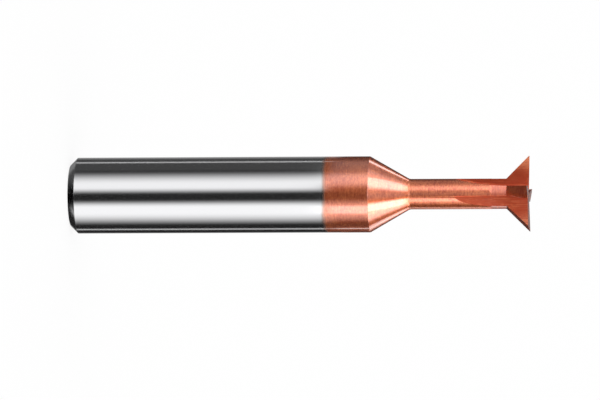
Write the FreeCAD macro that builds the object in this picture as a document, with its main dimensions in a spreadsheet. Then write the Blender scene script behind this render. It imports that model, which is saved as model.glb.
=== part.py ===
"""Solid-carbide dovetail cutter: a ground round shank, a cone, a slim neck and a flared head
with four teeth.

The cutter is one piece. It stands on the end of its shank: the origin is the centre of that end
face, and +Z runs along the axis towards the teeth. All sizes are in millimetres and degrees.

The blank is one turned profile. Each tooth is then cut into it the way a grinding wheel cuts it:
a straight flute that runs out of the neck along the wheel's own radius, two relief facets behind
the cutting edge, which follow the flared flank and the front of the neck, and two more facets
behind the end edge. Every cut starts in the plane of the tooth's face, which holds the cutter's
axis, and the cuts are repeated round the axis once for each tooth.
"""

import FreeCAD
import Part
import Sketcher

import enum
import os

# name, size, what it is
DRIVING_SIZES = [
    ("shank_dia", 10, "diameter of the ground shank"),
    ("shank_length", 39.6, "end face to the foot of the cone"),
    ("shank_chamfer", 0.95, "45 degree chamfer round the end face"),
    ("cone_angle", 30, "slope of the cone against the axis"),
    ("neck_dia", 4, "diameter of the neck"),
    ("neck_length", 12.7, "cone to the root of the flared head"),
    ("neck_rounding", 0.8, "radius in the corner between cone and neck"),
    ("head_dia", 10, "cutting diameter at the front corners"),
    ("flank_angle", 45, "slope of the flared flank against the axis"),
    ("corner_land", 0.08, "height of the cylindrical land at each front corner"),
    ("dish_angle", 1.5, "fall of the end edges towards the centre"),
    ("centre_dia", 1.5, "diameter of the relief in the middle of the end"),
    ("centre_depth", 0.3, "depth of that relief below its rim"),
    ("tooth_count", 4, "teeth round the axis"),
    ("tooth_wedge", 7, "angle between a tooth's face and its back"),
    ("web_depth", 1.05, "axis to the floor of a flute"),
    ("flute_rounding", 0.15, "radius in the root of a flute"),
    ("flute_straight", 2.6, "length of a flute's level floor behind the end"),
    ("wheel_radius", 29, "radius of the grinding wheel, which the run-out follows"),
    ("relief_length", 1.9, "length of the relieved neck behind the head"),
    ("relief_run_out", 22, "slope at which that relief leaves the neck"),
    ("land_width", 0.45, "width of the first facet behind an edge"),
    ("first_relief", 14, "fall of the first facet behind the flank's edge"),
    ("second_relief", 28, "fall of the second facet"),
    ("flank_lead", 5, "how far both facets also lean forwards"),
    ("first_end_relief", 4, "fall of the first facet behind the end edge"),
    ("second_end_relief", 8, "fall of the second facet"),
    ("clearance", 1, "how far a cut reaches past the metal that it removes"),
]

# Expressions over those sizes, used by more than one feature
SHANK_R = "Sizes.shank_dia / 2"
NECK_R = "Sizes.neck_dia / 2"
HEAD_R = "Sizes.head_dia / 2"
CENTRE_R = "Sizes.centre_dia / 2"
NECK_START = f"(Sizes.shank_length + ({SHANK_R} - {NECK_R}) / tan(Sizes.cone_angle))"
HEAD_ROOT = f"({NECK_START} + Sizes.neck_length)"
CORNER = f"({HEAD_ROOT} + ({HEAD_R} - {NECK_R}) / tan(Sizes.flank_angle))"
FRONT = f"({CORNER} + Sizes.corner_land)"
CENTRE_RIM = f"({FRONT} - ({HEAD_R} - {CENTRE_R}) * tan(Sizes.dish_angle))"
BEYOND_HEAD = f"({HEAD_R} + Sizes.clearance)"
BEYOND_FRONT = f"({FRONT} + Sizes.clearance)"

# A flute is a notch between one tooth's face and the next tooth's back.
# NOTCH_X is where the two planes meet.
NOTCH_ANGLE = "(360 / Sizes.tooth_count - Sizes.tooth_wedge)"
NOTCH_X = f"(Sizes.web_depth / sin({NOTCH_ANGLE}))"
ROUNDING_START = f"(Sizes.flute_rounding / tan({NOTCH_ANGLE} / 2))"


class End(enum.IntEnum):
    """The number by which a sketch knows the two ends of a line or an arc."""

    START = 1
    FINISH = 2


SKETCH_ORIGIN = (-1, End.START)
NEGLIGIBLE = 1e-4


def fill_sheet(doc):
    """Writes the driving sizes into the spreadsheet, one row for each."""
    sheet = doc.addObject("Spreadsheet::Sheet", "Sizes")
    for row, (name, size, meaning) in enumerate(DRIVING_SIZES, start=1):
        sheet.set(f"A{row}", name)
        sheet.set(f"B{row}", str(size))
        sheet.setAlias(f"B{row}", name)
        sheet.set(f"C{row}", meaning)
    doc.recompute()


def origin_feature(body, role):
    """The body's own origin plane or axis with this role."""
    return next(feature for feature in body.Origin.OriginFeatures if feature.Role == role)


def sketch_on(body, role, name, height="0"):
    """A new sketch on one of the body's origin planes, lifted along its normal by the height."""
    sketch = body.newObject("Sketcher::SketchObject", name)
    sketch.AttachmentSupport = (origin_feature(body, role), "")
    sketch.MapMode = "FlatFace"
    sketch.setExpression("AttachmentOffset.Base.z", height)
    return sketch


def vector(sketch, point):
    """The vector in the sketch that a point's two expressions stand for."""
    return FreeCAD.Vector(sketch.evalExpression(point[0]), sketch.evalExpression(point[1]), 0)


def bind(sketch, kind, *places, to):
    """Adds a dimension to the sketch and ties it to an expression."""
    dimension = Sketcher.Constraint(kind, *places, float(sketch.evalExpression(to)))
    sketch.setExpression(f"Constraints[{sketch.addConstraint(dimension)}]", to)


def pin_down(sketch, geometry, end, point):
    """Ties one end of a line or an arc to a point given as two expressions."""
    bind(sketch, "DistanceX", *SKETCH_ORIGIN, geometry, end, to=point[0])
    bind(sketch, "DistanceY", *SKETCH_ORIGIN, geometry, end, to=point[1])


def add_line(sketch, start, end):
    """Draws a line between two points and gives its number."""
    return sketch.addGeometry(Part.LineSegment(vector(sketch, start), vector(sketch, end)))


def join(sketch, geometry, following):
    """Makes one line or arc start where another ends."""
    touching = Sketcher.Constraint("Coincident", geometry, End.FINISH, following, End.START)
    sketch.addConstraint(touching)


def closed_outline(sketch, corners):
    """Draws straight lines from corner to corner and back, each corner given as two expressions."""
    lines = [add_line(sketch, *ends) for ends in zip(corners, corners[1:] + corners[:1])]
    for line, following, corner in zip(lines, lines[1:] + lines[:1], corners):
        join(sketch, line, following)
        pin_down(sketch, line, End.START, corner)


def turned_blank(body):
    """The cutter's whole outline as one turned solid, before any tooth is cut."""
    sketch = sketch_on(body, "XZ_Plane", "blank_outline")
    outline = [
        ("0", "0"),
        (f"{SHANK_R} - Sizes.shank_chamfer", "0"),
        (SHANK_R, "Sizes.shank_chamfer"),
        (SHANK_R, "Sizes.shank_length"),
        (NECK_R, NECK_START),
        (NECK_R, HEAD_ROOT),
        (HEAD_R, CORNER),
        (HEAD_R, FRONT),
        (CENTRE_R, CENTRE_RIM),
        ("0", f"{CENTRE_RIM} - Sizes.centre_depth"),
    ]
    closed_outline(sketch, outline)
    blank = body.newObject("PartDesign::Revolution", "turned_blank")
    blank.Profile = sketch
    blank.ReferenceAxis = (sketch, ["V_Axis"])
    blank.Angle = 360
    return blank


def round_neck(body, blank):
    """Rounds the corner where the cone runs into the neck."""
    height = body.evalExpression(NECK_START)
    corners = [
        f"Edge{number}"
        for number, edge in enumerate(blank.Shape.Edges, start=1)
        if isinstance(edge.Curve, Part.Circle) and abs(edge.Curve.Center.z - height) < NEGLIGIBLE
    ]
    rounding = body.newObject("PartDesign::Fillet", "neck_rounding")
    rounding.Base = (blank, corners)
    rounding.setExpression("Radius", "Sizes.neck_rounding")
    return rounding


def flute_section(body):
    """The notch between a tooth's face, which lies along X, and the next tooth's back."""
    sketch = sketch_on(body, "XY_Plane", "flute_section", BEYOND_FRONT)
    reach = f"(2 * {BEYOND_HEAD})"
    centre_x = f"({NOTCH_X} + {ROUNDING_START})"
    face_near = (centre_x, "0")
    face_far = (reach, "0")
    back_near = (
        f"{NOTCH_X} + {ROUNDING_START} * cos({NOTCH_ANGLE})",
        f"{ROUNDING_START} * sin({NOTCH_ANGLE})",
    )
    back_far = (f"{NOTCH_X} + {reach} * cos({NOTCH_ANGLE})", f"{reach} * sin({NOTCH_ANGLE})")
    outer_corner = (reach, back_far[1])
    root_middle = (
        f"{centre_x} - Sizes.flute_rounding * cos({NOTCH_ANGLE} / 2)",
        f"Sizes.flute_rounding * (1 - sin({NOTCH_ANGLE} / 2))",
    )
    back = add_line(sketch, back_far, back_near)
    root_points = [vector(sketch, point) for point in (back_near, root_middle, face_near)]
    root = sketch.addGeometry(Part.Arc(*root_points))
    face = add_line(sketch, face_near, face_far)
    side = add_line(sketch, face_far, outer_corner)
    far_side = add_line(sketch, outer_corner, back_far)
    outline = [back, root, face, side, far_side]
    starts = [back_far, back_near, face_near, face_far, outer_corner]
    for piece, following, start in zip(outline, outline[1:] + outline[:1], starts):
        join(sketch, piece, following)
        pin_down(sketch, piece, End.START, start)
    bind(sketch, "Radius", root, to="Sizes.flute_rounding")
    return sketch


def flute_path(body):
    """The way of the notch's corner: level behind the end, then out of the neck as the wheel does."""
    sketch = sketch_on(body, "XZ_Plane", "flute_path")
    level_end = f"({FRONT} - Sizes.flute_straight)"
    out_x = f"({NECK_R} + Sizes.clearance)"
    turn = f"acos(1 - ({out_x} - {NOTCH_X}) / Sizes.wheel_radius)"
    along_wheel = [
        (
            f"{NOTCH_X} + Sizes.wheel_radius * (1 - cos({share} * {turn}))",
            f"{level_end} - Sizes.wheel_radius * sin({share} * {turn})",
        )
        for share in (0, 0.5, 1)
    ]
    level = add_line(sketch, (NOTCH_X, BEYOND_FRONT), (NOTCH_X, level_end))
    run_out = sketch.addGeometry(Part.Arc(*[vector(sketch, at) for at in along_wheel]))
    pin_down(sketch, level, End.START, (NOTCH_X, BEYOND_FRONT))
    pin_down(sketch, level, End.FINISH, (NOTCH_X, level_end))
    sketch.addConstraint(Sketcher.Constraint("Tangent", level, End.FINISH, run_out, End.START))
    bind(sketch, "Radius", run_out, to="Sizes.wheel_radius")
    bind(sketch, "DistanceX", *SKETCH_ORIGIN, run_out, End.FINISH, to=out_x)
    return sketch


def cut_flute(body):
    """Cuts the first flute, which leaves the face of one tooth and the back of the next."""
    section = flute_section(body)
    path = flute_path(body)
    flute = body.newObject("PartDesign::SubtractivePipe", "flute")
    flute.Profile = section
    flute.Spine = (path, [])
    flute.Mode = "Fixed"
    return flute


def cut_facet(body, name, outline, fall, lead):
    """Cuts one facet of the first tooth, from its face towards its back.

    The outline lies in the plane of the tooth's face. Behind that plane it sinks towards the axis
    by the slope called fall, and moves along the axis by the slope called lead.
    """
    sketch = sketch_on(body, "XZ_Plane", f"{name}_outline")
    closed_outline(sketch, outline)
    facet = body.newObject("PartDesign::Pocket", name)
    facet.Profile = sketch
    facet.UseCustomVector = True
    facet.AlongSketchNormal = True
    facet.Direction = FreeCAD.Vector(0, -1, 0)
    facet.setExpression("Direction.x", f"-({fall})")
    facet.setExpression("Direction.z", lead)
    facet.SideType = "Two sides"
    facet.setExpression("Length", "Sizes.web_depth + Sizes.clearance")
    facet.setExpression("Length2", "Sizes.land_width")
    return facet


def flank_outline(shift):
    """The metal outside the cutting edge, from the relieved neck to past the front.

    The shift moves it outwards. Its first line slopes, so that the relief leaves the neck
    without a step.
    """
    behind = f"({HEAD_ROOT} - Sizes.relief_length)"
    neck_x = f"{NECK_R} + {shift}"
    head_x = f"{HEAD_R} + {shift}"
    outer_x = f"{BEYOND_HEAD} + {shift}"
    run_out = f"{behind} - ({BEYOND_HEAD} - {NECK_R}) / tan(Sizes.relief_run_out)"
    return [
        (neck_x, behind),
        (neck_x, HEAD_ROOT),
        (head_x, CORNER),
        (head_x, BEYOND_FRONT),
        (outer_x, BEYOND_FRONT),
        (outer_x, run_out),
    ]


def end_outline(shift):
    """The metal in front of the dished end edge, moved forwards by the shift."""
    axis_z = f"{FRONT} - {HEAD_R} * tan(Sizes.dish_angle) + {shift}"
    outer_z = f"{FRONT} + Sizes.clearance * tan(Sizes.dish_angle) + {shift}"
    return [
        ("0", axis_z),
        (BEYOND_HEAD, outer_z),
        (BEYOND_HEAD, BEYOND_FRONT),
        ("0", BEYOND_FRONT),
    ]


def second_facet_shift(first, second):
    """How far out a second facet starts in the face's plane, to meet the first at land_width."""
    return f"Sizes.land_width * (tan(Sizes.{second}) - tan(Sizes.{first}))"


def relieve_tooth(body):
    """Cuts the four facets behind the first tooth's edges."""
    lead = "tan(Sizes.flank_lead)"
    flank_shift = second_facet_shift("first_relief", "second_relief")
    end_shift = second_facet_shift("first_end_relief", "second_end_relief")
    return [
        cut_facet(body, "flank_land", flank_outline("0"), "tan(Sizes.first_relief)", lead),
        cut_facet(body, "flank_relief", flank_outline(flank_shift), "tan(Sizes.second_relief)", lead),
        cut_facet(body, "end_land", end_outline("0"), "0", "-tan(Sizes.first_end_relief)"),
        cut_facet(body, "end_relief", end_outline(end_shift), "0", "-tan(Sizes.second_end_relief)"),
    ]


def repeat_round_axis(body, cuts):
    """Repeats the first tooth's cuts for every tooth."""
    pattern = body.newObject("PartDesign::PolarPattern", "teeth")
    pattern.Originals = cuts
    pattern.Axis = (origin_feature(body, "Z_Axis"), [""])
    pattern.Angle = 360
    pattern.setExpression("Occurrences", "Sizes.tooth_count")
    body.Tip = pattern


def cutter_body(doc):
    """The whole cutter as one body."""
    body = doc.addObject("PartDesign::Body", "cutter_body")
    body.Label = "cutter_body"
    blank = turned_blank(body)
    doc.recompute()
    round_neck(body, blank)
    doc.recompute()
    cuts = [cut_flute(body), *relieve_tooth(body)]
    repeat_round_axis(body, cuts)
    doc.recompute()
    return body, cuts


def check_document(doc, body, cuts):
    """Stops the build if a feature failed, a cut removed nothing or the solid isn't whole."""
    failed = [thing.Name for thing in doc.Objects if {"Invalid", "Error"} & set(thing.State)]
    if failed:
        raise RuntimeError(f"not built: {failed}")
    for cut in cuts:
        if cut.Shape.Volume > cut.BaseFeature.Shape.Volume - NEGLIGIBLE:
            raise RuntimeError(f"{cut.Name} removed nothing")
    if body.Shape.isNull() or not body.Shape.isValid() or len(body.Shape.Solids) != 1:
        raise RuntimeError("the body is not one valid solid")


def main():
    doc = FreeCAD.newDocument("dovetail_cutter")
    fill_sheet(doc)
    body, cuts = cutter_body(doc)
    check_document(doc, body, cuts)
    os.makedirs("parts", exist_ok=True)
    body.Shape.exportStep(f"parts/{body.Label}.step")
    volume = body.Shape.Volume
    print(f"{body.Label}: {volume:.1f} cubic mm, {body.Shape.BoundBox.ZLength:.2f} mm long")


main()
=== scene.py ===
# %% [markdown]
# # A dovetail cutter
#
# This lesson dresses one milling cutter for dovetail grooves. It is ground from a single
# rod of cemented carbide: a bare shank that the machine holds, then a cone, a thin neck
# and a head with four teeth, which carry a copper-coloured coating.
#
# The CAD model has given its size and its place. Blender adds what CAD doesn't have: the
# finish of the metal, the light, and a camera. Every length below is in metres, and `MM`
# turns the millimetres of a workshop drawing into them.

from math import acos, cos, radians, sin, sqrt, tan, tau

import bmesh
import bpy
from mathutils import Matrix, Vector


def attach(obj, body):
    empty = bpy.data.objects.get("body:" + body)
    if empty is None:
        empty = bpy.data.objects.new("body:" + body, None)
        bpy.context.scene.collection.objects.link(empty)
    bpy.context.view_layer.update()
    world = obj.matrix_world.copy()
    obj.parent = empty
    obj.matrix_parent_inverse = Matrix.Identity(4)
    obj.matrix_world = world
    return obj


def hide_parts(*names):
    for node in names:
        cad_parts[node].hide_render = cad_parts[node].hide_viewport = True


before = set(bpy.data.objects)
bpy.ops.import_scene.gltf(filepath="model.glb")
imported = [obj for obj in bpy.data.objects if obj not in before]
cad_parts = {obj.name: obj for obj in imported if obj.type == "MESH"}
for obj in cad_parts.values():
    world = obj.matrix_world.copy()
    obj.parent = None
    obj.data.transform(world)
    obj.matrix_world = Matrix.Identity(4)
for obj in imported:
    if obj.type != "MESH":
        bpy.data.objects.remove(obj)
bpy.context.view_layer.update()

MM = 0.001
print("CAD solids:", sorted(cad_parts))

# %% [markdown]
# ## The camera
#
# The picture was taken with a long lens, almost square to the cutter's axis, with the
# cutter lying across the frame. Here the cutter stands upright on its shank, so the camera
# turns instead: its right-hand side points up along the cutter. A long lens far away keeps
# the two ends nearly the same size.

# %% Place the camera
VIEW_AZIMUTH = radians(-7.0)
VIEW_ELEVATION = radians(5.41)
VIEW_DISTANCE = 0.811
LENS_MM = 370.0
SENSOR_MM = 36.0
ROLL = radians(0.25)
AIM_ALONG_AXIS = 30.3 * MM
AIM_BELOW_AXIS = 0.70 * MM
CLIP_NEAR = 0.05
CLIP_FAR = 20.0

towards_camera = Vector((
    sin(VIEW_AZIMUTH) * cos(VIEW_ELEVATION),
    -cos(VIEW_AZIMUTH) * cos(VIEW_ELEVATION),
    sin(VIEW_ELEVATION),
))
level_right = (Vector((0, 0, 1)) - towards_camera * towards_camera.z).normalized()
level_up = towards_camera.cross(level_right)
picture_right = level_right * cos(ROLL) - level_up * sin(ROLL)
picture_up = towards_camera.cross(picture_right)

aim = Vector((0, 0, AIM_ALONG_AXIS)) - level_up * AIM_BELOW_AXIS
turn = Matrix((picture_right, picture_up, towards_camera)).transposed()

camera_data = bpy.data.cameras.new("long_lens")
camera_data.lens = LENS_MM
camera_data.sensor_width = SENSOR_MM
camera_data.clip_start = CLIP_NEAR
camera_data.clip_end = CLIP_FAR
camera = bpy.data.objects.new("long_lens", camera_data)
camera.matrix_world = Matrix.Translation(aim + towards_camera * VIEW_DISTANCE) @ turn.to_4x4()
bpy.context.scene.collection.objects.link(camera)
bpy.context.scene.camera = camera
bpy.context.scene.view_settings.view_transform = "Standard"
print("camera at", [round(value, 4) for value in camera.location])

# %% [markdown]
# ## Sums on shader sockets
#
# A material is a network of nodes, and its arithmetic is easier to read as ordinary
# formulas. `Wire` holds one output socket and overloads the operators, so `1 - mask * 0.5`
# adds two Math nodes. `Workbench.add` makes every other node: settings first, because some
# of them decide which sockets a node has, and then the values or wires of its sockets.

# %% Wire: an output socket that takes part in sums
class Wire:
    """One output socket that takes part in Python sums."""

    def __init__(self, bench, socket):
        self.bench = bench
        self.socket = socket

    def __add__(self, other):
        return self.bench.math("ADD", self, other)

    def __radd__(self, other):
        return self.bench.math("ADD", other, self)

    def __sub__(self, other):
        return self.bench.math("SUBTRACT", self, other)

    def __rsub__(self, other):
        return self.bench.math("SUBTRACT", other, self)

    def __mul__(self, other):
        return self.bench.math("MULTIPLY", self, other)

    def __rmul__(self, other):
        return self.bench.math("MULTIPLY", other, self)

    def __truediv__(self, other):
        return self.bench.math("DIVIDE", self, other)

    def __rtruediv__(self, other):
        return self.bench.math("DIVIDE", other, self)

    def __pow__(self, other):
        return self.bench.math("POWER", self, other)

    def magnitude(self):
        return self.bench.math("ABSOLUTE", self)

    def clamped(self):
        return self.bench.math("ADD", self, 0.0, clamp=True)

# %% Workbench: a node tree in the making
class Workbench:
    """Adds nodes to one node tree."""

    def __init__(self, tree):
        self.tree = tree
        tree.nodes.clear()

    def add(self, kind, sockets=None, **settings):
        """A node of one kind, with its settings and what its sockets hold."""
        node = self.tree.nodes.new(kind)
        for name, value in settings.items():
            setattr(node, name, value)
        for key, value in (sockets or {}).items():
            if isinstance(value, Wire):
                self.tree.links.new(value.socket, node.inputs[key])
            else:
                node.inputs[key].default_value = value
        return node

    def out(self, node, key=0):
        """An output of a node as a wire."""
        return Wire(self, node.outputs[key])

    def math(self, operation, first, second=None, clamp=False):
        """One Math node."""
        sockets = {0: first} if second is None else {0: first, 1: second}
        return self.out(self.add("ShaderNodeMath", sockets, operation=operation,
                                 use_clamp=clamp))

    def step(self, value, start, end):
        """Rises smoothly from 0 at start to 1 at end."""
        return self.out(self.add("ShaderNodeMapRange", {0: value, 1: start, 2: end},
                                 interpolation_type="SMOOTHSTEP"))

    def mix(self, factor, first, second):
        """Blends two colours: a Mix node takes them at sockets 6 and 7, and gives 2."""
        node = self.add("ShaderNodeMix", {0: factor, 6: first, 7: second}, data_type="RGBA")
        return self.out(node, 2)

# %% [markdown]
# ## The studio
#
# Polished metal has hardly a look of its own: it shows the room. A photographer of tools
# hangs long white panels and black flags around a shiny rod, so that it gets broad white
# bands with soft edges and a dark line between them. Cards could be modelled one by one,
# but then the floor would hide their lower halves. The world can be painted by direction
# instead: `around` is the angle about the cutter's axis, counted from the camera, and
# `rise` is the angle above the horizon.
#
# The panels stand upright round the shank. The cone leans, so it mirrors what hangs
# overhead, the crown. A low card lights the relief behind the teeth.
#
# Only mirror-like rays see all this. Every other ray sees an even white, which is the
# plain soft light that shows a colour as it is written.

# %% Directions in the room
def seen_from_camera(bench, vector):
    """The angle of a vector about the axis, counted from the camera, and its height."""
    facing = bench.add("ShaderNodeVectorRotate", {0: vector, "Angle": -VIEW_AZIMUTH},
                       rotation_type="Z_AXIS")
    split = bench.add("ShaderNodeSeparateXYZ", {0: bench.out(facing)})
    sideways, away, upward = (bench.out(split, index) for index in range(3))
    return bench.math("ARCTAN2", -1 * sideways, -1 * away), upward


world = bpy.data.worlds.new("studio")
bpy.context.scene.world = world
world.use_nodes = True
world.cycles.sampling_method = "NONE"
room = Workbench(world.node_tree)
direction = room.out(room.add("ShaderNodeTexCoord"))
around, upward = seen_from_camera(room, direction)
rise = room.math("ARCSINE", upward)
print("directions are counted from", round(VIEW_AZIMUTH, 3), "radians")

# %% Panels with soft edges
def band(bench, angle, edges):
    """1 between the two inner edges and 0 outside the two outer ones, all in degrees."""
    dark_before, full_from, full_to, dark_after = (radians(edge) for edge in edges)
    return bench.step(angle, dark_before, full_from) * bench.step(angle, dark_after, full_to)


def panels(bench, angle, table, glow):
    """Adds to a glow the panels of a table: four edges and a brightness for each."""
    for edges, brightness in table.values():
        glow = glow + band(bench, angle, edges) * brightness
    return glow


PANELS = {
    "upper panel": ((3, 24, 34, 80), 1.38),
    "lower panel": ((-106, -54, -37, -13), 1.47),
    "upper side": ((70, 88, 150, 175), 0.06),
    "upper slit": ((116, 119, 121, 124), 0.80),
    "lower slit": ((-133, -129, -126, -122), 0.75),
    "upper far side": ((140, 152, 160, 170), 0.20),
}
CROWN = {
    "upper crown": ((12, 40, 60, 96), 3.5),
    "upper crown wash": ((60, 80, 130, 160), 0.5),
    "front crown": ((-30, -10, 10, 30), 0.4),
    "lower crown": ((-108, -80, -48, -30), 4.6),
    "lower crown wash": ((-160, -120, -100, -70), 0.5),
}
LOW_CARD = {"low card": ((-5, 8, 60, 75), 1.8)}
ROOM_DARK = 0.02
CROWN_DARK = 0.15
print(len(PANELS), "panels,", len(CROWN), "parts of the crown,", len(LOW_CARD), "low card")

# %% Paint the world
OVERHEAD_FROM, OVERHEAD_FULL = radians(12), radians(45)
UNDERNEATH_FROM, UNDERNEATH_FULL = radians(-56), radians(-80)
UNDERNEATH_SHADE = 0.97
BEHIND_FROM, BEHIND_FULL = radians(150), radians(176)
BEHIND_RISE = (-30, -12, 6, 14)
BEHIND_GLOW = 0.4
LOW_CARD_RISE = (-57, -51, -41, -35)
EVEN_LIGHT = 1.0

overhead = room.step(rise, OVERHEAD_FROM, OVERHEAD_FULL)
underneath = 1 - room.step(rise, UNDERNEATH_FULL, UNDERNEATH_FROM)
behind = room.step(around.magnitude(), BEHIND_FROM, BEHIND_FULL)
behind = behind * band(room, rise, BEHIND_RISE)
low_card = panels(room, around, LOW_CARD, 0) * band(room, rise, LOW_CARD_RISE)
bands = panels(room, around, PANELS, ROOM_DARK)
crown = panels(room, around, CROWN, CROWN_DARK)
mirrored = bands * (1 - overhead) * (1 - underneath * UNDERNEATH_SHADE) + crown * overhead
mirrored = mirrored + behind * BEHIND_GLOW + low_card

is_mirror_ray = room.out(room.add("ShaderNodeLightPath"), "Is Glossy Ray")
strength = EVEN_LIGHT + is_mirror_ray * (mirrored - EVEN_LIGHT)
backdrop = room.add("ShaderNodeBackground", {"Color": (1, 1, 1, 1), "Strength": strength})
room.add("ShaderNodeOutputWorld", {"Surface": room.out(backdrop)})
print("the world has", len(world.node_tree.nodes), "nodes")

# %% [markdown]
# ## The floor
#
# A pale disc under the cutter catches its soft shadow. Part of its white comes from its
# own glow, so that it meets the white backdrop without a line. Mirror-like rays pass
# through it to the studio panels, which hang lower than the cutter stands.

# %% Lay the floor
FLOOR_RADIUS = 8.0
FLOOR_POINTS = 96
FLOOR_GLOW = 0.85
PAPER_WHITE = (0.98, 0.98, 0.98, 1)

floor_mesh = bpy.data.meshes.new("floor")
rim = [(FLOOR_RADIUS * cos(tau * step / FLOOR_POINTS),
        FLOOR_RADIUS * sin(tau * step / FLOOR_POINTS), 0) for step in range(FLOOR_POINTS)]
floor_mesh.from_pydata(rim, [], [list(range(FLOOR_POINTS))])
floor = bpy.data.objects.new("floor", floor_mesh)
bpy.context.scene.collection.objects.link(floor)

paper = bpy.data.materials.new("white_paper")
paper.use_nodes = True
bench = Workbench(paper.node_tree)
path = bench.add("ShaderNodeLightPath")
matt = bench.add("ShaderNodeBsdfDiffuse", {"Color": PAPER_WHITE})
glow = bench.add("ShaderNodeEmission", {"Color": (1, 1, 1, 1), "Strength": 1.0})
lit = bench.add("ShaderNodeMixShader",
                {0: FLOOR_GLOW, 1: bench.out(matt), 2: bench.out(glow)})
clear = bench.add("ShaderNodeBsdfTransparent")
seen = bench.add("ShaderNodeMixShader", {0: bench.out(path, "Is Glossy Ray"),
                                         1: bench.out(lit), 2: bench.out(clear)})
bench.add("ShaderNodeOutputMaterial", {"Surface": bench.out(seen)})
floor_mesh.materials.append(paper)
print("floor radius in m:", FLOOR_RADIUS)

# %% [markdown]
# ## A bent screen round the teeth
#
# The large panels light the whole cutter alike. Photographers of tools also bend a screen of
# thin paper round the part that matters, here the coated half, and light it from outside in
# stripes. It stands so near that the rays from the bare shank pass below it. Its lower edge
# fades, so that the change doesn't show as a line on the metal.
#
# The low stripes go all the way up. The front stripes join them at the level of the neck,
# and the high ones at the level of the teeth, so that each part gets its own light.

# %% Stripes on the screen
SCREEN_DARK = 0.05
LOW_STRIPES = {
    "upper wash": ((3, 50, 100, 136), 0.36),
    "upper stripe": ((15, 38, 48, 74), 1.0),
    "lower wash": ((-92, -60, -36, -10), 1.0),
    "lower stripe": ((-63, -53, -38, -29), 1.7),
    "lower slit": ((-127, -124, -121, -118), 1.8),
}
FRONT_STRIPES = {
    "front stripe": ((-20, -2, 8, 34), 0.5),
    "front upper stripe": ((16, 36, 54, 92), 0.45),
    "front slit": ((-148, -141, -134, -128), 1.1),
    "upper far stripe": ((162, 176, 190, 200), 0.3),
    "lower far stripe": ((-200, -190, -176, -162), 0.3),
}
HIGH_STRIPES = {
    "upper slit": ((119, 124, 130, 136), 2.8),
    "lower slit": ((-138, -133, -129, -124), 2.4),
    "high front stripe": ((-20, -5, 8, 26), 0.8),
    "high upper stripe": ((60, 74, 82, 100), 0.6),
    "high lower stripe": ((-108, -88, -74, -58), 2.3),
}
FRONT_FROM, FRONT_FULL = 36 * MM, 46 * MM
HIGH_FROM, HIGH_FULL = 53 * MM, 63 * MM
print(len(LOW_STRIPES), "low,", len(FRONT_STRIPES), "front and", len(HIGH_STRIPES),
      "high stripes")

# %% Bend the screen
SCREEN_DISTANCE = 60 * MM
SCREEN_FOOT = 30.2 * MM
SCREEN_FULL = 31.6 * MM
SCREEN_TOP = 95 * MM
SCREEN_STEPS = 72

corners = []
for step in range(SCREEN_STEPS):
    angle = tau * step / SCREEN_STEPS
    x, y = SCREEN_DISTANCE * cos(angle), SCREEN_DISTANCE * sin(angle)
    corners += [(x, y, SCREEN_FOOT), (x, y, SCREEN_TOP)]
count = len(corners)
faces = [(low, low + 1, (low + 3) % count, (low + 2) % count) for low in range(0, count, 2)]
screen_mesh = bpy.data.meshes.new("screen")
screen_mesh.from_pydata(corners, [], faces)
screen = bpy.data.objects.new("screen", screen_mesh)
bpy.context.scene.collection.objects.link(screen)
screen.visible_camera = False
screen.visible_diffuse = False
screen.visible_transmission = False
screen.visible_shadow = False
print("the screen stands", round(SCREEN_DISTANCE / MM), "mm from the axis")

# %% Paint the stripes
tracing = bpy.data.materials.new("tracing_paper")
tracing.use_nodes = True
bench = Workbench(tracing.node_tree)
place = bench.out(bench.add("ShaderNodeTexCoord"), "Object")
angle, level = seen_from_camera(bench, place)
pattern = (panels(bench, angle, LOW_STRIPES, SCREEN_DARK)
           + bench.step(level, FRONT_FROM, FRONT_FULL) * panels(bench, angle, FRONT_STRIPES, 0)
           + bench.step(level, HIGH_FROM, HIGH_FULL) * panels(bench, angle, HIGH_STRIPES, 0))
stripes = bench.add("ShaderNodeEmission", {"Color": pattern, "Strength": 1.0})
clear = bench.add("ShaderNodeBsdfTransparent")
faded = bench.add("ShaderNodeMixShader", {0: bench.step(level, SCREEN_FOOT, SCREEN_FULL),
                                          1: bench.out(clear), 2: bench.out(stripes)})
bench.add("ShaderNodeOutputMaterial", {"Surface": bench.out(faded)})
screen_mesh.materials.append(tracing)
print("the stripes take", len(tracing.node_tree.nodes), "nodes")

# %% [markdown]
# ## The finish
#
# The shank is ground carbide, smooth enough to act as a mirror. From a little way behind the
# cone onwards the cutter carries a hard ceramic film, a few thousandths of a millimetre
# thick, which looks like copper. It is metal underneath and glossy film on top, so the
# shader has both: a saturated, rather dull metal, and a coat with a high index, because
# such films bend light far more than lacquer does.
#
# What makes ground metal look ground are its marks. They run round the shank, cone and
# neck and across the relief facets, and lengthwise in the flutes, because that is how the
# wheels moved. The face attribute `wheel` tells the shader which wheel made a face.
#
# The shader isn't the same everywhere. The film is duller and grainier on the neck and
# darker on the reliefs. Its colour is also darker in the flutes, which is painted shade where
# the teeth shade each other, and lighter towards the tips of the teeth, which is painted
# light; the coat is glossier there too.

# %% Where on the cutter
FLUTE, FLANK, END = 1.0, 2.0, 3.0
SAME_WHEEL, OTHER_WHEEL = 0.3, 0.6
NECK_FROM, NECK_FULL = 2.6 * MM, 2.1 * MM
TIPS_FROM, TIPS_FULL = 2.5 * MM, 5.0 * MM

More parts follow.
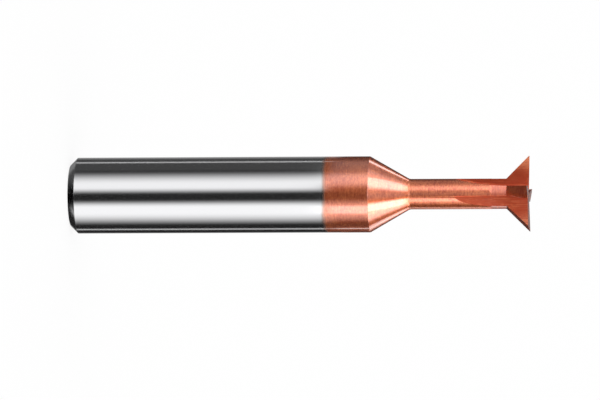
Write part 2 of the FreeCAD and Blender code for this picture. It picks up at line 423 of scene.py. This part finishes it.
finish = bpy.data.materials.new("coated_carbide")
finish.use_nodes = True
bench = Workbench(finish.node_tree)
position = bench.out(bench.add("ShaderNodeTexCoord"), "Object")
axes = bench.add("ShaderNodeSeparateXYZ", {0: position})
across_x, across_y, along = (bench.out(axes, index) for index in range(3))
from_axis = (across_x * across_x + across_y * across_y) ** 0.5
wheel = bench.out(bench.add("ShaderNodeAttribute", attribute_name="wheel"), "Fac")
in_flute = 1 - bench.step((wheel - FLUTE).magnitude(), SAME_WHEEL, OTHER_WHEEL)
on_relief = bench.step(wheel, FLUTE + SAME_WHEEL, FLUTE + OTHER_WHEEL)
on_neck = bench.step(from_axis, NECK_FROM, NECK_FULL) * (1 - in_flute) * (1 - on_relief)
at_tips = bench.step(from_axis, TIPS_FROM, TIPS_FULL) * in_flute
print("wheel numbers: flute", FLUTE, "flank", FLANK, "end", END)

# %% Grinding marks
NOISE_ROUGHNESS = 0.6
NOISE_MIDDLE = 0.5
SPECKLE = 0.6
SPECKLE_MORE_ON_NECK = 0.35
SPECKLE_LESS_WHERE_GROUND = 0.45


def streaks(per_mm_across, per_mm_along, height, detail):
    """Noise drawn out in a direction: the more per mm, the finer the marks that way."""
    stretched = bench.add("ShaderNodeCombineXYZ", {
        0: across_x * (per_mm_across / MM),
        1: across_y * (per_mm_across / MM),
        2: height * (per_mm_along / MM),
    })
    noise = bench.add("ShaderNodeTexNoise", {
        "Vector": bench.out(stretched),
        "Scale": 1.0,
        "Detail": detail,
        "Roughness": NOISE_ROUGHNESS,
    })
    return bench.out(noise) - NOISE_MIDDLE


along_outline = along + from_axis
round_marks = streaks(1.5, 3.0, along_outline, detail=3.0)
fine_round_marks = streaks(0.6, 9.0, along_outline, detail=2.0)
long_marks = streaks(7.0, 0.5, along, detail=3.0)
patches = streaks(0.35, 0.35, along, detail=2.0)
speckle = streaks(3.0, 5.0, along, detail=2.0)
marks = (in_flute * long_marks
         + (1 - in_flute) * (round_marks * 0.5 + fine_round_marks * 0.5))
marks = marks + speckle * (SPECKLE + on_neck * SPECKLE_MORE_ON_NECK
                           - in_flute * SPECKLE_LESS_WHERE_GROUND
                           - on_relief * SPECKLE_LESS_WHERE_GROUND)
print("marks round the cutter and along its flutes, patches and speckle")

# %% Colour
COATING_START = 33.8 * MM
COATING_BLUR = 0.22 * MM
COATING_WANDER = 0.5 * MM
CARBIDE = (0.62, 0.62, 0.63, 1)
FILM_LIGHT = (0.86, 0.22, 0.07, 1)
FILM_DARK = (0.46, 0.06, 0.017, 1)
FILM_EDGE = (0.36, 0.20, 0.13, 1)
FILM_EDGE_AMOUNT = 0.55
TONE_MIDDLE = 0.5
TONE_BY_MARKS = 1.9
TONE_BY_PATCHES = 0.8
DARKER_ON_RELIEF = 0.3
# Painted shade in the flutes and painted light at the tips of the teeth.
PAINTED_SHADE_IN_FLUTE = 0.5
PAINTED_LIGHT_AT_TIPS = 0.9

level = along + patches * COATING_WANDER
coated = bench.step(level, COATING_START - COATING_BLUR, COATING_START + COATING_BLUR)
film_edge = 1 - bench.step((level - COATING_START).magnitude(), 0.0, 2 * COATING_BLUR)
# The tone holds real grinding marks and patches, plus painted shade in the flutes and painted
# light at the tips.
film_tone_and_painted_shade = (TONE_MIDDLE + marks * TONE_BY_MARKS + patches * TONE_BY_PATCHES
             - on_relief * DARKER_ON_RELIEF - in_flute * PAINTED_SHADE_IN_FLUTE
             + at_tips * PAINTED_LIGHT_AT_TIPS)
film = bench.mix(film_tone_and_painted_shade.clamped(), FILM_DARK, FILM_LIGHT)
colour = bench.mix(coated, CARBIDE, film)
colour = bench.mix(film_edge * FILM_EDGE_AMOUNT, colour, FILM_EDGE)
print("coating starts", round(COATING_START / MM, 1), "mm from the end of the shank")

# %% Gloss
BARE_ROUGHNESS, BARE_ROUGHNESS_SPREAD = 0.13, 0.05
FILM_ROUGHNESS, FILM_ROUGHNESS_SPREAD = 0.18, 0.10
BARE_DEPTH, FILM_DEPTH = 0.25, 1.0
BUMP_STRENGTH = 0.5
BUMP_DISTANCE = 0.0019 * MM
FILM_LESS_METALLIC = 0.12
COAT = 0.86
COAT_BY_MARKS = 0.3
COAT_LESS_ON_RELIEF = 0.3
COAT_LESS_IN_FLUTE = 0.76
COAT_MORE_AT_TIPS = 0.5
COAT_LESS_ON_NECK = 0.35
COAT_ROUGHNESS = 0.08
COAT_INDEX = 2.4

roughness = ((BARE_ROUGHNESS + fine_round_marks * BARE_ROUGHNESS_SPREAD)
             + coated * (FILM_ROUGHNESS + marks * FILM_ROUGHNESS_SPREAD))
bump = bench.add("ShaderNodeBump", {
    "Strength": BUMP_STRENGTH,
    "Distance": BUMP_DISTANCE,
    "Height": marks * (BARE_DEPTH + coated * FILM_DEPTH),
})
coat = coated * (COAT + marks * COAT_BY_MARKS - on_relief * COAT_LESS_ON_RELIEF
                 - in_flute * COAT_LESS_IN_FLUTE + at_tips * COAT_MORE_AT_TIPS
                 - on_neck * COAT_LESS_ON_NECK)
surface = bench.add("ShaderNodeBsdfPrincipled", {
    "Base Color": colour,
    "Metallic": 1 - coated * FILM_LESS_METALLIC,
    "Roughness": roughness,
    "Coat Weight": coat,
    "Coat Roughness": COAT_ROUGHNESS,
    "Coat IOR": COAT_INDEX,
    "Normal": bench.out(bump),
})
bench.add("ShaderNodeOutputMaterial", {"Surface": bench.out(surface)})
print("the finish has", len(finish.node_tree.nodes), "nodes")

# %% [markdown]
# ## The turned blank
#
# Every cutter of this kind starts as a round rod that is ground to one outline: chamfer,
# shank, cone, neck, flared head. The shape follows a rule, so Geometry Nodes can make it:
# the outline is a row of points, and the tree turns copies of that row round the axis. A
# Screw modifier would do it too, but the tree shows its sizes as named inputs and can be
# followed by the grinding cuts.
#
# Real ground edges are never quite sharp. `soften` puts a small arc into a corner, and the
# thin bright line on the edge of the chamfer comes from there.

# %% Sizes of the blank
SHANK_RADIUS = 5.0 * MM
SHANK_LENGTH = 39.6 * MM
SHANK_CHAMFER = 0.95 * MM
CONE_ANGLE = radians(30)
NECK_RADIUS = 2.0 * MM
NECK_LENGTH = 12.7 * MM
NECK_ROUNDING = 0.8 * MM
HEAD_RADIUS = 5.0 * MM
FLANK_ANGLE = radians(45)
CORNER_LAND = 0.08 * MM
DISH_ANGLE = radians(1.5)
CENTRE_RADIUS = 0.75 * MM
CENTRE_DEPTH = 0.3 * MM
EDGE_SOFTENING = 0.06 * MM
FOOT_SOFTENING = 0.25 * MM

NECK_START = SHANK_LENGTH + (SHANK_RADIUS - NECK_RADIUS) / tan(CONE_ANGLE)
HEAD_ROOT = NECK_START + NECK_LENGTH
CORNER = HEAD_ROOT + (HEAD_RADIUS - NECK_RADIUS) / tan(FLANK_ANGLE)
FRONT = CORNER + CORNER_LAND
CENTRE_RIM = FRONT - (HEAD_RADIUS - CENTRE_RADIUS) * tan(DISH_ANGLE)
print("neck from", round(NECK_START / MM, 3), "mm, front at", round(FRONT / MM, 3), "mm")

# %% Outline of the blank
def soften(before, corner, after, radius, steps=6):
    """An arc of points instead of a corner, touching both lines of the outline."""
    corner = Vector(corner)
    back = (Vector(before) - corner).normalized()
    ahead = (Vector(after) - corner).normalized()
    half = back.angle(ahead) / 2
    centre = corner + (back + ahead).normalized() * radius / sin(half)
    start = corner + back * radius / tan(half) - centre
    sweep = start.angle_signed(corner + ahead * radius / tan(half) - centre)
    turned = (Matrix.Rotation(-sweep * step / steps, 2) @ start for step in range(steps + 1))
    return [tuple(centre + point) for point in turned]


chamfer_inner = (SHANK_RADIUS - SHANK_CHAMFER, 0)
chamfer_outer = (SHANK_RADIUS, SHANK_CHAMFER)
cone_foot = (SHANK_RADIUS, SHANK_LENGTH)
neck_corner = (NECK_RADIUS, NECK_START)
head_root = (NECK_RADIUS, HEAD_ROOT)
blank_outline = [
    (0, 0),
    *soften((0, 0), chamfer_inner, chamfer_outer, EDGE_SOFTENING),
    *soften(chamfer_inner, chamfer_outer, cone_foot, EDGE_SOFTENING),
    *soften(chamfer_outer, cone_foot, neck_corner, FOOT_SOFTENING),
    *soften(cone_foot, neck_corner, head_root, NECK_ROUNDING),
    head_root,
    (HEAD_RADIUS, CORNER),
    (HEAD_RADIUS, FRONT),
    (CENTRE_RADIUS, CENTRE_RIM),
    (0, CENTRE_RIM - CENTRE_DEPTH),
]

outline_mesh = bpy.data.meshes.new("cutter")
outline_mesh.from_pydata([(radius, 0, height) for radius, height in blank_outline],
                         [(step, step + 1) for step in range(len(blank_outline) - 1)], [])
body = bpy.data.objects.new("ground_cutter", outline_mesh)
bpy.context.scene.collection.objects.link(body)
print(len(blank_outline), "points in the outline")

# %% A new Geometry Nodes tree
def new_tree(name, inputs):
    """A tree with a geometry going in and out, and a named input for every size."""
    tree = bpy.data.node_groups.new(name, "GeometryNodeTree")
    tree.interface.new_socket("Geometry", in_out="INPUT", socket_type="NodeSocketGeometry")
    tree.interface.new_socket("Geometry", in_out="OUTPUT", socket_type="NodeSocketGeometry")
    for label, kind in inputs.items():
        tree.interface.new_socket(label, in_out="INPUT", socket_type=f"NodeSocket{kind}")
    return tree


def run_tree(target, tree, values):
    """Puts the tree on an object, with each named input set by its socket's identifier."""
    modifier = target.modifiers.new(tree.name, "NODES")
    modifier.node_group = tree
    for item in tree.interface.items_tree:
        if item.in_out == "INPUT" and item.name in values:
            modifier[item.identifier] = values[item.name]

# %% Turn the outline round the axis
STEPS_ROUND = 192
WELD_DISTANCE = 0.001 * MM

turning = new_tree("turn_outline", {"Steps round": "Int", "Weld distance": "Float"})
lathe = Workbench(turning)
given = lathe.add("NodeGroupInput")
outline_in = lathe.out(given, "Geometry")
steps_round = lathe.out(given, "Steps round")
outline_size = lathe.add("GeometryNodeAttributeDomainSize", {"Geometry": outline_in})
points_along = lathe.out(outline_size, "Point Count")
grid = lathe.add("GeometryNodeMeshGrid", {"Vertices X": steps_round + 1,
                                          "Vertices Y": points_along})
index = lathe.out(lathe.add("GeometryNodeInputIndex"))
turn_step, outline_step = (
    lathe.out(lathe.add("FunctionNodeIntegerMath", {0: index, 1: points_along},
                        operation=operation))
    for operation in ("DIVIDE_FLOOR", "MODULO")
)
where = lathe.out(lathe.add("GeometryNodeInputPosition"))
sampled = lathe.add("GeometryNodeSampleIndex",
                    {"Geometry": outline_in, "Value": where, "Index": outline_step},
                    data_type="FLOAT_VECTOR", domain="POINT")
outline_point = lathe.add("ShaderNodeSeparateXYZ", {0: lathe.out(sampled)})
radius, height = lathe.out(outline_point, 0), lathe.out(outline_point, 2)
angle = turn_step * tau / steps_round
turned_point = lathe.add("ShaderNodeCombineXYZ", {
    0: radius * lathe.math("COSINE", angle),
    1: radius * lathe.math("SINE", angle),
    2: height,
})
placed = lathe.add("GeometryNodeSetPosition", {"Geometry": lathe.out(grid),
                                               "Position": lathe.out(turned_point)})
welded = lathe.add("GeometryNodeMergeByDistance",
                   {"Geometry": lathe.out(placed),
                    "Distance": lathe.out(given, "Weld distance")})
lathe.add("NodeGroupOutput", {"Geometry": lathe.out(welded)})
run_tree(body, turning, {"Steps round": STEPS_ROUND, "Weld distance": WELD_DISTANCE})
print("the outline is turned in", STEPS_ROUND, "steps")

# %% [markdown]
# ## The grinding wheels
#
# A wheel can be drawn as the solid that it removes. Each one here is an outline that is
# carried along a row of stations, by a rule that says where a point of the outline lies at
# each station. The flute's notch climbs out of the neck along the wheel's own radius. The
# relief wheels start at the cutting edge and sink behind it.

# %% Carry an outline along stations
def swept_solid(name, outline, stations, rule, kind):
    """A closed solid, whose faces carry the number of the wheel that leaves them."""
    count = len(outline)
    points = [rule(*point, station) for station in stations for point in outline]
    sides = [
        (ring * count + step, ring * count + (step + 1) % count,
         (ring + 1) * count + (step + 1) % count, (ring + 1) * count + step)
        for ring in range(len(stations) - 1) for step in range(count)
    ]
    last_ring = (len(stations) - 1) * count
    caps = [tuple(range(count))[::-1], tuple(range(last_ring, last_ring + count))]
    mesh = bpy.data.meshes.new(name)
    mesh.from_pydata(points, [], sides + caps)
    shell = bmesh.new()
    shell.from_mesh(mesh)
    bmesh.ops.recalc_face_normals(shell, faces=shell.faces)
    shell.to_mesh(mesh)
    shell.free()
    numbers = mesh.attributes.new("wheel", "FLOAT", "FACE")
    numbers.data.foreach_set("value", [kind] * len(mesh.polygons))
    solid = bpy.data.objects.new(name, mesh)
    bpy.context.scene.collection.objects.link(solid)
    return solid

# %% The flute wheel
TEETH = 4
TOOTH_WEDGE = radians(7)
WEB_DEPTH = 1.05 * MM
FLUTE_ROUNDING = 0.15 * MM
FLUTE_STRAIGHT = 2.6 * MM
WHEEL_RADIUS = 29 * MM
CLEARANCE = 1.0 * MM
REACH = 2 * (HEAD_RADIUS + CLEARANCE)
RUN_OUT_STEPS = 40
NOTCH_ANGLE = tau / TEETH - TOOTH_WEDGE
NOTCH_X = WEB_DEPTH / sin(NOTCH_ANGLE)

back_direction = Vector((cos(NOTCH_ANGLE), sin(NOTCH_ANGLE)))
notch = Vector((NOTCH_X, 0))
back_far = notch + back_direction * REACH
flute_outline = [
    (REACH, 0),
    (REACH, back_far.y),
    tuple(back_far),
    *soften(back_far, notch, (REACH, 0), FLUTE_ROUNDING),
]
level_end = FRONT - FLUTE_STRAIGHT
run_out = WHEEL_RADIUS * sin(acos(1 - (NECK_RADIUS + CLEARANCE - NOTCH_X) / WHEEL_RADIUS))


def along_the_wheel(x, y, height):
    """The notch at one height, pushed outwards where the wheel has begun to rise."""
    behind = max(0.0, level_end - height)
    return (x + WHEEL_RADIUS - sqrt(WHEEL_RADIUS**2 - behind**2), y, height)


flute_stations = [level_end - run_out * (1 - step / RUN_OUT_STEPS)
                  for step in range(RUN_OUT_STEPS + 1)]
flute_stations.append(FRONT + CLEARANCE)
flute_wheel = swept_solid("flute_wheel", flute_outline, flute_stations, along_the_wheel,
                          FLUTE)
print("the flute wheel rises over", round(run_out / MM, 1), "mm")

# %% The relief wheels
RELIEF_LENGTH = 1.9 * MM
RELIEF_RUN_OUT = radians(22)
LAND_WIDTH = 0.45 * MM
FLANK_RELIEFS = radians(14), radians(28)
FLANK_LEAD = radians(5)
END_RELIEFS = radians(4), radians(8)
BEHIND_FACE = WEB_DEPTH + CLEARANCE
OUTSIDE = HEAD_RADIUS + CLEARANCE
BEYOND = FRONT + CLEARANCE


def sinking(fall, lead):
    """The rule for a relief: it sinks by fall and moves along the axis by lead."""
    return lambda radius, height, depth: (radius - fall * depth, -depth, height + lead * depth)


def flank_outline(shift):
    """Neck, flank and corner of the head, moved outwards by shift."""
    behind = HEAD_ROOT - RELIEF_LENGTH
    outline = [
        (NECK_RADIUS, behind),
        (NECK_RADIUS, HEAD_ROOT),
        (HEAD_RADIUS, CORNER),
        (HEAD_RADIUS, BEYOND),
        (OUTSIDE, BEYOND),
        (OUTSIDE, behind - (OUTSIDE - NECK_RADIUS) / tan(RELIEF_RUN_OUT)),
    ]
    return [(radius + shift, height) for radius, height in outline]


def end_outline(shift):
    """The dished end, moved forwards by shift."""
    return [
        (0, FRONT - HEAD_RADIUS * tan(DISH_ANGLE) + shift),
        (OUTSIDE, FRONT + CLEARANCE * tan(DISH_ANGLE) + shift),
        (OUTSIDE, BEYOND),
        (0, BEYOND),
    ]


def relief_wheels(edge, reliefs, outline, rule, kind):
    """Two wheels for one edge: the second is steeper and takes over behind the land."""
    pair = {}
    for order, relief in zip(("First", "Second"), reliefs):
        shift = LAND_WIDTH * (tan(relief) - tan(reliefs[0]))
        pair[f"{order} {edge} wheel"] = swept_solid(
            f"{order.lower()}_{edge}_wheel", outline(shift), [-LAND_WIDTH, BEHIND_FACE],
            rule(tan(relief)), kind)
    return pair


wheels = {
    "Flute wheel": flute_wheel,
    **relief_wheels("flank", FLANK_RELIEFS, flank_outline,
                    lambda fall: sinking(fall, tan(FLANK_LEAD)), FLANK),
    **relief_wheels("end", END_RELIEFS, end_outline, lambda fall: sinking(0, -fall), END),
}
print("faces of the wheels:", {label: len(tool.data.polygons) for label, tool in wheels.items()})

# %% Cut the teeth
SHARP_ABOVE = radians(20)

grinding = new_tree("grind_teeth", {"Teeth": "Int", "Sharp above": "Float",
                                    **{label: "Object" for label in wheels},
                                    "Finish": "Material"})
grinder = Workbench(grinding)
given = grinder.add("NodeGroupInput")
teeth = grinder.out(given, "Teeth")
metal = grinder.out(given, "Geometry")
spots = grinder.add("GeometryNodePoints", {"Count": teeth})
index = grinder.out(grinder.add("GeometryNodeInputIndex"))
turn = grinder.add("ShaderNodeCombineXYZ", {2: index * tau / teeth})
for label in wheels:
    tool = grinder.add("GeometryNodeObjectInfo", {"Object": grinder.out(given, label)})
    copies = grinder.add("GeometryNodeInstanceOnPoints", {
        "Points": grinder.out(spots),
        "Instance": grinder.out(tool, "Geometry"),
        "Rotation": grinder.out(turn),
    })
    cut = grinder.add("GeometryNodeMeshBoolean",
                      {"Mesh 1": metal, "Mesh 2": grinder.out(copies)},
                      operation="DIFFERENCE", solver="MANIFOLD")
    metal = grinder.out(cut)
print(len(grinding.nodes), "nodes cut", TEETH, "teeth with", len(wheels), "wheels")

# %% Keep the ground edges sharp
edge_angle = grinder.out(grinder.add("GeometryNodeInputMeshEdgeAngle"), "Unsigned Angle")
is_sharp = grinder.math("GREATER_THAN", edge_angle, grinder.out(given, "Sharp above"))
soft = grinder.add("GeometryNodeSetShadeSmooth", {"Geometry": metal, "Shade Smooth": True},
                   domain="FACE")
sharp = grinder.add("GeometryNodeSetShadeSmooth",
                    {"Geometry": grinder.out(soft), "Selection": is_sharp,
                     "Shade Smooth": False}, domain="EDGE")
whole = grinder.add("GeometryNodeRealizeInstances", {0: grinder.out(sharp)})
dressed = grinder.add("GeometryNodeSetMaterial", {"Geometry": grinder.out(whole),
                                                  "Material": grinder.out(given, "Finish")})
grinder.add("NodeGroupOutput", {"Geometry": grinder.out(dressed)})
run_tree(body, grinding, {"Teeth": TEETH, "Sharp above": SHARP_ABOVE, "Finish": finish,
                          **wheels})
print("edges count as sharp above", round(SHARP_ABOVE, 3), "radians")

# %% [markdown]
# ## From tree to mesh
#
# The evaluated object gives the finished mesh. The wheels have done their work and are
# removed, and so are the modifiers. The new piece then takes the place of the CAD solid:
# it rides on the body root, and the finish fills its one material slot.

# %% Take the ground cutter off the machine
graph = bpy.context.evaluated_depsgraph_get()
ground_mesh = bpy.data.meshes.new_from_object(body.evaluated_get(graph))
body.modifiers.clear()
body.data = ground_mesh
ground_mesh.materials.clear()
ground_mesh.materials.append(finish)
ground_mesh.polygons.foreach_set("material_index", [0] * len(ground_mesh.polygons))
for solid in wheels.values():
    bpy.data.objects.remove(solid)

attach(body, "root")
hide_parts("cutter_body")

shell = bmesh.new()
shell.from_mesh(ground_mesh)
open_edges = sum(not edge.is_manifold for edge in shell.edges)
print(len(shell.faces), "faces,", open_edges, "open edges,",
      round(shell.calc_volume() / MM**3, 1), "cubic mm")
shell.free()
